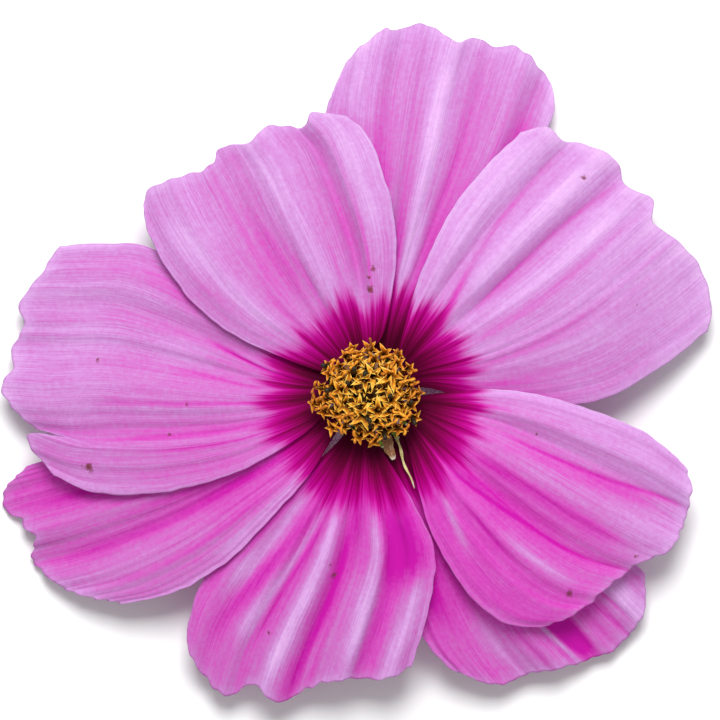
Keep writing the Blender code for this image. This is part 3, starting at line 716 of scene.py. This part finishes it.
discLook = {
    "count": 61, "young": 28, "radius": 5.6, "shrink": 0.62, "baseLevel": 0.95, "top": 5.3, "drop": 1.3,
    "youngRadius": 3.05, "goldenAngle": math.degrees(math.pi * (3.0 - math.sqrt(5.0))),
    "sides": 30, "wall": 0.05, "tube": 0.22, "buds": 5, "stars": 18, "stretchX": 1.03, "stretchY": 0.92,
    "budReach": (0.85, 1.0), "starReach": (1.5, 1.85), "openReach": (1.05, 1.5), "sunk": (0.1, 0.6),
    "rodFoot": 0.7, "darkRod": (1.5, 2.2), "paleRod": (0.7, 1.1),
}


def floretPlaces():
    # the spiral of florets: number, foot and mouth, from the middle out
    look = discLook
    for n in range(1, look["count"] + 1):
        radius = look["radius"] * math.sqrt((n - 0.5) / look["count"])
        direction = (n * look["goldenAngle"]) % 360.0
        past = (radius - look["youngRadius"]) / (look["radius"] - look["youngRadius"])
        drop = look["drop"] * max(past, 0.0) ** 2
        foot = polar(radius * look["shrink"], direction).to_3d()
        foot.z = look["baseLevel"] - 0.4
        mouth = polar(radius, direction).to_3d()
        mouth.z = look["top"] - drop
        yield n, foot, mouth


def wrapGrid(bm, layer, frameTurn, sides, rows, place):
    # a grid rolled into a closed skin; place gives a point and its part value for (around, along)
    grid = bmesh.ops.create_grid(bm, x_segments=sides, y_segments=rows, size=0.5)["verts"]
    for vert in grid:
        point, vert[layer] = place(vert.co.x + 0.5, vert.co.y + 0.5)
        vert.co = frameTurn @ Vector(point)
    bmesh.ops.remove_doubles(bm, verts=grid, dist=0.0005)


def addCorolla(bm, layer, frameTurn, rng, spread, size, length):
    # a tube that flares into five pointed lobes; spread runs from 0, upright lobes, to 1, a flat star
    look = discLook
    throat = look["tube"] + 0.14 * spread
    twist = rng.uniform(0, 1)
    reachOf = [size * rng.uniform(0.85, 1.12) for _ in range(5)]
    curlOf = [rng.uniform(0.5, 1.5) for _ in range(5)]
    outerShare = 0.6  # the share of the skin that is the outside
    flare = 0.45  # the share of the outside that is tube
    def place(around, along):
        inside = along > outerShare
        t = (1 - along) / (1 - outerShare) if inside else along / outerShare
        a = (around + twist) * math.tau
        lobeTurn = (5 * around) % 1.0
        lobe = int(5 * around + 0.5) % 5
        peak = (1.0 - 2.0 * min(lobeTurn, 1.0 - lobeTurn)) ** 1.9
        wall = look["wall"] if inside else 0.0
        if t < flare:
            level = length * t / flare if not inside else length * (0.5 + 0.5 * t / flare)
            radius = look["tube"] + (throat - look["tube"]) * (t / flare) ** 2 - wall
            if along in (0.0, 1.0):
                radius = 0.0
            return (radius * math.cos(a), radius * math.sin(a), level), (0.25 if not inside else 0.05)
        s = (t - flare) / (1 - flare)
        star = 0.30 + 0.70 * peak
        reach = throat + (reachOf[lobe] * star - throat) * s * spread - wall * (1 - s)
        lift = (1 - spread) * s * (0.35 + 0.65 * peak) * size * 0.9
        lift += spread * (0.5 * s - 0.5 * curlOf[lobe] * s ** 2.4 * peak) * size
        lift += wall * s * (0.6 if inside else 0.0)
        value = 0.15 + 0.85 * s ** 2.2 if inside else 0.25 + 0.45 * s
        return (reach * math.cos(a), reach * math.sin(a), length + lift), value
    wrapGrid(bm, layer, frameTurn, look["sides"], 15, place)


def addRod(bm, layer, frameTurn, path, widths, sides, value):
    # a closed rod along the path, in as many steps as widths
    last = len(widths) - 1
    turns = [(path[min(k + 1, last)] - path[max(k - 1, 0)]).to_track_quat("Z", "Y") for k in range(last + 1)]
    def place(around, along):
        k = int(round(along * (last + 2)))
        at = min(max(k - 1, 0), last)
        radius = 0.0 if k in (0, last + 2) else widths[at]
        side = Vector((radius * math.cos(around * math.tau), radius * math.sin(around * math.tau), 0))
        return path[at] + turns[at] @ side, value
    wrapGrid(bm, layer, frameTurn, sides, last + 2, place)


def addStigma(bm, layer, frameTurn, rng, top, lean):
    # two arms that curl away from each other and end in a knob
    spin = rng.uniform(0, math.tau)
    for arm in range(2):
        angle = spin + arm * math.pi + rng.uniform(-0.5, 0.5)
        out = Vector((math.cos(angle), math.sin(angle), 0))
        curl = rng.uniform(2.0, 4.2)
        reach = rng.uniform(0.26, 0.46)
        path = []
        for step in range(9):
            bend = curl * step / 8
            rise = lean * (reach * math.sin(bend) + 0.03 * step)
            path.append(top + rise + out * reach * (1 - math.cos(bend)))
        widths = [0.10, 0.11, 0.12, 0.13, 0.14, 0.155, 0.17, 0.165, 0.10]
        addRod(bm, layer, frameTurn, path, widths, 7, 2.0 + rng.uniform(-0.3, 0.3))


def buildFloret(bm, layer, rng, foot, mouth, stage):
    look = discLook
    length = (mouth - foot).length
    frameTurn = Matrix.Translation(foot) @ (mouth - foot).to_track_quat("Z", "Y").to_matrix().to_4x4()
    if stage == "bud":
        addCorolla(bm, layer, frameTurn, rng, 0.75, rng.uniform(*look["budReach"]), length * 0.98)
        return
    if stage == "star":
        addCorolla(bm, layer, frameTurn, rng, rng.uniform(0.9, 1.0), rng.uniform(*look["starReach"]), length)
    else:
        spread = rng.uniform(0.6, 0.95)
        reach = rng.uniform(*look["openReach"])
        addCorolla(bm, layer, frameTurn, rng, spread, reach, length - rng.uniform(*look["sunk"]))
    lean = Vector((rng.uniform(-0.5, 0.5), rng.uniform(-0.5, 0.5), 1.0)).normalized()
    low = Vector((0, 0, length - look["rodFoot"]))
    dark = rng.random() < (0.4 if stage == "star" else 0.22)
    tall = rng.uniform(*look["darkRod" if dark else "paleRod"])
    rod = [low + lean * (tall * step / 3) for step in range(4)]
    widths = [0.22, 0.26, 0.27, 0.22] if dark else [0.14, 0.16, 0.16, 0.12]
    addRod(bm, layer, frameTurn, rod, widths, 10, -1.0 if dark else -0.2)
    if stage != "star" and not dark:
        addStigma(bm, layer, frameTurn, rng, rod[-1], lean)


def floretMaterial():
    sheet = Sheet("floretYellow", roughness=0.5, specular=0.25)
    part = sheet.attribute("part")
    grain = sheet.noise(sheet.scaled(sheet.place(), (2600, 2600, 2600)), detail=3)
    age = sheet.noise(sheet.scaled(sheet.place(), (420, 420, 420)), detail=2)
    centred = sheet.scaled(sheet.moved(sheet.place(), (-axisX, -axisY, 0)), (1, 1, 0))
    radius = sheet.node("ShaderNodeVectorMath", {"operation": "LENGTH"}, {0: centred}, "Value")
    outer = ((radius - 2.2 * mm) / (3.2 * mm) + (age - 0.5) * 1.2).clamp()
    petal = sheet.ramp(part + (grain - 0.5) * 0.25, [
        (0.0, (0.08, 0.02, 0.002)), (0.22, (0.38, 0.13, 0.008)), (0.5, (0.75, 0.36, 0.022)),
        (0.75, (0.95, 0.56, 0.06)), (1.0, (1.0, 0.76, 0.20))])
    petal = sheet.mix(outer * 0.75, petal, sheet.mix(1.0, petal, (0.82, 0.50, 0.25), "MULTIPLY"))
    stigma = sheet.ramp(grain * 0.5 + age * 0.5 - outer * 0.08, [
        (0.33, (0.22, 0.05, 0.004)), (0.45, (0.66, 0.21, 0.01)), (0.6, (0.98, 0.50, 0.05))])
    anther = sheet.ramp(grain, [(0.35, (0.006, 0.004, 0.002)), (0.7, (0.04, 0.025, 0.01))])
    brown = sheet.ramp(grain, [(0.35, (0.06, 0.02, 0.003)), (0.7, (0.26, 0.11, 0.012))])
    colour = sheet.mix(((part - 1.4) * 8.0).clamp(), petal, stigma)
    colour = sheet.mix(((-0.1 - part) * 20.0).clamp(), colour, brown)
    colour = sheet.mix(((-0.6 - part) * 8.0).clamp(), colour, anther)
    return sheet.finish(colour, bump=grain, distance=0.05 * mm, strength=0.5)


def floretObject(name, florets, material, nodes):
    bm = bmesh.new()
    layer = bm.verts.layers.float.new("part")
    for rng, foot, mouth, stage in florets:
        buildFloret(bm, layer, rng, foot, mouth, stage)
    bmesh.ops.scale(bm, verts=bm.verts[:], vec=(mm, mm, mm))
    bmesh.ops.translate(bm, verts=bm.verts[:], vec=(axisX, axisY, attachZ))
    mesh = bpy.data.meshes.new(name)
    bm.to_mesh(mesh)
    bm.free()
    mesh.shade_smooth()
    return addPiece(name, mesh, material, nodes)


def makeDisc():
    material = floretMaterial()
    inner = []
    for n, foot, mouth in floretPlaces():
        rng = random.Random(500 + n)
        mouth.x *= discLook["stretchX"]
        mouth.y *= discLook["stretchY"]
        mouth = mouth + Vector((rng.uniform(-0.2, 0.2), rng.uniform(-0.2, 0.2), rng.uniform(-0.3, 0.2)))
        if n <= discLook["young"]:
            stage = "bud" if n <= discLook["buds"] else ("star" if n <= discLook["stars"] else "open")
            inner.append((rng, foot, mouth, stage))
        else:
            k = n - discLook["young"]
            floretObject(f"discFloret{k:02d}", [(rng, foot, mouth, "open")], material,
                         [f"disc_floret_{k:02d}"])
    floretObject("innerFlorets", inner, material, ["young_floret_cluster"])
    print("disc florets:", discLook["count"])


# --- chaffy scales round the disc ---

# start and end: (radius, direction); level: height over the petals at the start, and rise to the end
scaleLooks = {
    "witheredPalea": {"start": (5.3, 303), "end": (11.5, 296), "width": 0.34, "level": 0.55, "rise": -0.55,
                      "taper": 0.75, "sway": 0.16, "tint": "tan"},
    "brownScale": {"start": (5.0, 292), "end": (7.7, 291), "width": 1.25, "level": 1.5, "rise": -0.5,
                   "taper": 0.7, "sway": 0.1, "tint": "brown", "notch": 0.05},
    "rimScale1": {"start": (4.5, 1), "end": (5.7, 0), "width": 0.5, "level": 1.6, "rise": 0.6,
                  "taper": 0.5, "sway": 0.0, "tint": "green"},
    "rimScale2": {"start": (4.4, 322), "end": (5.4, 321), "width": 0.45, "level": 1.5, "rise": 0.7,
                  "taper": 0.5, "sway": 0.05, "tint": "green"},
    "rimScale3": {"start": (4.6, 303), "end": (5.9, 304), "width": 0.55, "level": 1.4, "rise": 0.4,
                  "taper": 0.6, "sway": 0.05, "tint": "green"},
    "rimScale4": {"start": (4.8, 284), "end": (6.1, 285), "width": 0.5, "level": 1.3, "rise": 0.3,
                  "taper": 0.6, "sway": 0.05, "tint": "green"},
}
scaleTints = {
    "tan": [(0.3, (0.30, 0.20, 0.06)), (0.5, (0.60, 0.50, 0.20)), (0.7, (0.80, 0.74, 0.48))],
    "brown": [(0.3, (0.10, 0.03, 0.015)), (0.5, (0.30, 0.13, 0.05)), (0.7, (0.55, 0.38, 0.30))],
    "green": [(0.3, (0.12, 0.22, 0.02)), (0.5, (0.28, 0.45, 0.05)), (0.7, (0.55, 0.62, 0.20))],
}
scaleGrid = {"columns": 8, "rows": 30, "thickness": 0.08 * mm, "cup": 0.35, "wave": 0.08}


def scaleMaterial(tint):
    sheet = Sheet(tint + "Scale", roughness=0.55, specular=0.3)
    fibre = sheet.noise(sheet.scaled(sheet.uv("scaleUv"), (14, 3, 0)), detail=3)
    grain = sheet.noise(sheet.scaled(sheet.place(), (1800, 1800, 1800)), detail=2)
    body = sheet.ramp(fibre * 0.6 + grain * 0.4, scaleTints[tint])
    tipFade = ((sheet.attribute("along") - 0.82) * 6.0).clamp() * 0.8
    colour = sheet.mix(tipFade, body, (0.80, 0.72, 0.62))
    return sheet.finish(colour, bump=fibre, distance=0.08 * mm, strength=0.6)


def makeScales():
    materials = {tint: scaleMaterial(tint) for tint in scaleTints}
    for name, look in scaleLooks.items():
        mesh, across, along = gridMesh(name, scaleGrid["columns"], scaleGrid["rows"], "scaleUv")
        across = 1.0 - across
        start = np.array(polar(*look["start"]))
        end = np.array(polar(*look["end"]))
        line = (end - start) / np.linalg.norm(end - start)
        side = np.array([-line[1], line[0]])
        half = look["width"] / 2 * (1.0 - look["taper"] * along ** 3)
        half = half * (1 + look.get("notch", 0.2) * (np.sin(along * 23) - 1))
        off = 1 - 2 * across
        sway = look["sway"] * np.sin(along * 7.5 + 0.6) * np.sin(along * math.pi)
        plan = start + (end - start) * along[:, None] + side * (half * off + sway)[:, None]
        out = np.linalg.norm(plan, axis=1) - petalLook["attachRadius"]
        climb = petalLook["rise"] * (1 - np.exp(-out / petalLook["riseLength"]))
        level = climb + look["level"] + look["rise"] * along
        level = level + scaleGrid["cup"] * half * off ** 2 + scaleGrid["wave"] * np.sin(along * 9)
        points = np.stack([axisX + plan[:, 0] * mm, axisY + plan[:, 1] * mm, attachZ + level * mm], axis=1)
        setShape(mesh, points)
        setAttribute(mesh, "along", along)
        nodes = ["withered_palea"] if name == "witheredPalea" else []
        piece = addPiece(name, mesh, materials[look["tint"]], nodes)
        thicken(piece, scaleGrid["thickness"])
    print("scales:", len(scaleLooks))


# --- floor, light and camera ---

stageLook = {
    "floorHalf": 0.6, "floorGap": 0.05 * mm, "floorTone": (0.94, 0.95, 0.943), "skyTone": 0.46,
    "keyPower": 1.94, "keySize": 0.18, "keyPlace": (0.0, 0.205, 0.38),
    "lens": 200.0, "sensor": 36.0, "viewHeight": 6.0, "picture": 79.2,
    "viewX": -0.88, "viewY": 3.63,
}


def makeStage():
    look = stageLook
    bm = bmesh.new()
    bmesh.ops.create_grid(bm, x_segments=1, y_segments=1, size=look["floorHalf"])
    bmesh.ops.translate(bm, verts=bm.verts[:], vec=(0, 0, cadBox[0][2] - look["floorGap"]))
    mesh = bpy.data.meshes.new("floor")
    bm.to_mesh(mesh)
    bm.free()
    floor = bpy.data.objects.new("floor", mesh)
    bpy.context.scene.collection.objects.link(floor)
    sheet = Sheet("floorWhite", roughness=0.9, specular=0.1)
    sheet.shader.inputs["Base Color"].default_value = (*look["floorTone"], 1.0)
    mesh.materials.append(sheet.material)

    world = bpy.data.worlds.new("studio")
    world.use_nodes = True
    world.node_tree.nodes["Background"].inputs["Color"].default_value = (1.0, 1.0, 1.0, 1.0)
    world.node_tree.nodes["Background"].inputs["Strength"].default_value = look["skyTone"]
    bpy.context.scene.world = world

    lamp = bpy.data.lights.new("key", "AREA")
    lamp.energy = look["keyPower"]
    lamp.size = look["keySize"]
    key = bpy.data.objects.new("key", lamp)
    key.location = look["keyPlace"]
    key.rotation_euler = (-Vector(look["keyPlace"])).to_track_quat("-Z", "Y").to_euler()
    bpy.context.scene.collection.objects.link(key)

    lens = bpy.data.cameras.new("camera")
    lens.lens = look["lens"]
    lens.sensor_width = look["sensor"]
    lens.clip_start = 0.01
    camera = bpy.data.objects.new("camera", lens)
    distance = look["picture"] * mm / look["sensor"] * look["lens"]
    viewpoint = (axisX + look["viewX"] * mm, axisY + look["viewY"] * mm, look["viewHeight"] * mm + distance)
    camera.location = viewpoint
    bpy.context.scene.collection.objects.link(camera)
    bpy.context.scene.camera = camera
    bpy.context.scene.view_settings.view_transform = "Standard"
    print("stage ready")


makeStage()
makePetals()
makeBracts()
makeStalk()
makeDisc()
makeScales()
